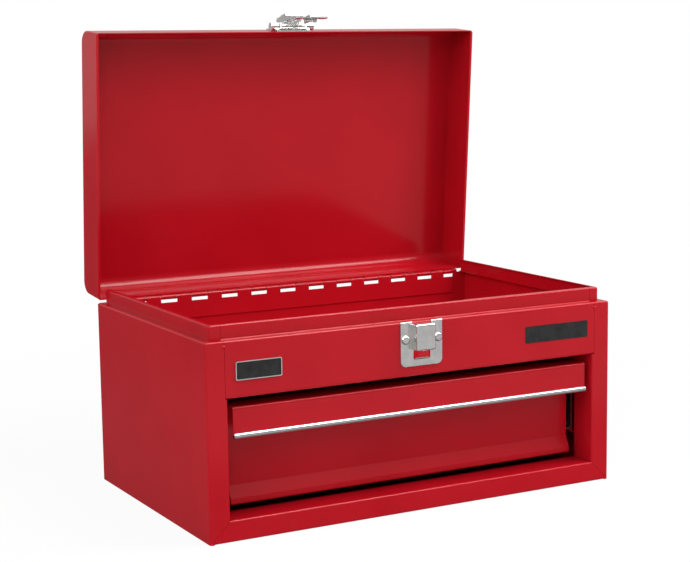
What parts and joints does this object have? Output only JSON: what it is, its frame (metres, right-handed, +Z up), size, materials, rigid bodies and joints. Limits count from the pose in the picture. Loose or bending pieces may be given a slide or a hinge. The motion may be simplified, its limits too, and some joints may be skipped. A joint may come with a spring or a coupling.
{
  "type": "portable tool box with drawer",
  "caption": "Portable sheet-steel tool box: hinged lift-up lid with latch and carry handle over a top compartment, and a front drawer on ball-bearing slides.",
  "frame": {"origin": "centre of the base's underside, in the plane that the box stands on", "axes": "+X to the right as seen from the front, +Y to the back, +Z up"},
  "size_m": [0.405, 0.3097, 0.4362],
  "materials": {
    "red_paint": "glossy red powder coat on folded sheet steel",
    "bright_plate": "bright nickel-like plating on pressed steel",
    "zinc_steel": "zinc-plated rolled steel",
    "bright_aluminium": "polished aluminium extrusion",
    "black_plate": "gloss black plate, bare",
    "black_grip": "matt black moulded grip"
  },
  "bodies": {
    "box": {"side_panel_left": "red_paint", "side_panel_right": "red_paint", "front_panel": "red_paint", "rear_panel": "red_paint", "base_panel": "red_paint", "compartment_floor": "red_paint", "slide_bracket_left": "red_paint", "slide_bracket_right": "red_paint", "slide_rail_left": "zinc_steel", "slide_rail_right": "zinc_steel", "slide_rivets_left": "zinc_steel", "slide_rivets_right": "zinc_steel", "catch_plate": "bright_plate", "catch_spring": "bright_plate", "catch_rivets": "bright_plate", "badge_frame": "bright_plate", "badge_plate": "black_plate", "label_plate": "black_plate", "hinge_leaf_box": "red_paint", "hinge_pin": "zinc_steel"},
    "lid": {"lid_shell": "red_paint", "hinge_leaf_lid": "red_paint", "latch_base": "bright_plate", "latch_pin": "bright_plate", "latch_rivets": "bright_plate", "handle_bracket_left": "bright_plate", "handle_bracket_right": "bright_plate", "handle_rivets": "bright_plate"},
    "latch_flap": {"latch_flap": "bright_plate"},
    "handle": {"handle_bail": "bright_plate", "handle_grip": "black_grip"},
    "drawer": {"drawer_front": "red_paint", "drawer_tray": "red_paint", "drawer_pull": "bright_aluminium", "drawer_runner_left": "zinc_steel", "drawer_runner_right": "zinc_steel", "runner_rivets_left": "zinc_steel", "runner_rivets_right": "zinc_steel"},
    "cage_left": {"ball_cage_left": "zinc_steel", "slide_balls_left": "bright_plate"},
    "cage_right": {"ball_cage_right": "zinc_steel", "slide_balls_right": "bright_plate"}
  },
  "joints": [
    {"name": "lid_hinge", "type": "hinge", "parent": "box", "child": "lid", "pos_m": [0, 0.12605, 0.1689], "axis": [1, 0, 0], "range_deg": [0, 85.5]},
    {"name": "latch_hinge", "type": "hinge", "parent": "lid", "child": "latch_flap", "pos_m": [0, 0.11713, 0.42374], "axis": [-1, 0, 0], "range_deg": [-16.5, 73.5]},
    {"name": "handle_hinge", "type": "hinge", "parent": "lid", "child": "handle", "pos_m": [0, 0.16597, 0.29893], "axis": [1, 0, 0], "range_deg": [0, 180]},
    {"name": "drawer_slide", "type": "slide", "parent": "box", "child": "drawer", "axis": [0, -1, 0], "range_m": [0, 0.15]},
    {"name": "cage_left_slide", "type": "slide", "parent": "box", "child": "cage_left", "axis": [0, -1, 0], "range_m": [0, 0.075]},
    {"name": "cage_right_slide", "type": "slide", "parent": "box", "child": "cage_right", "axis": [0, -1, 0], "range_m": [0, 0.075]}
  ],
  "couplings": [
    {"joint": "cage_left_slide", "follows": "drawer_slide", "ratio": 0.5},
    {"joint": "cage_right_slide", "follows": "drawer_slide", "ratio": 0.5}
  ]
}
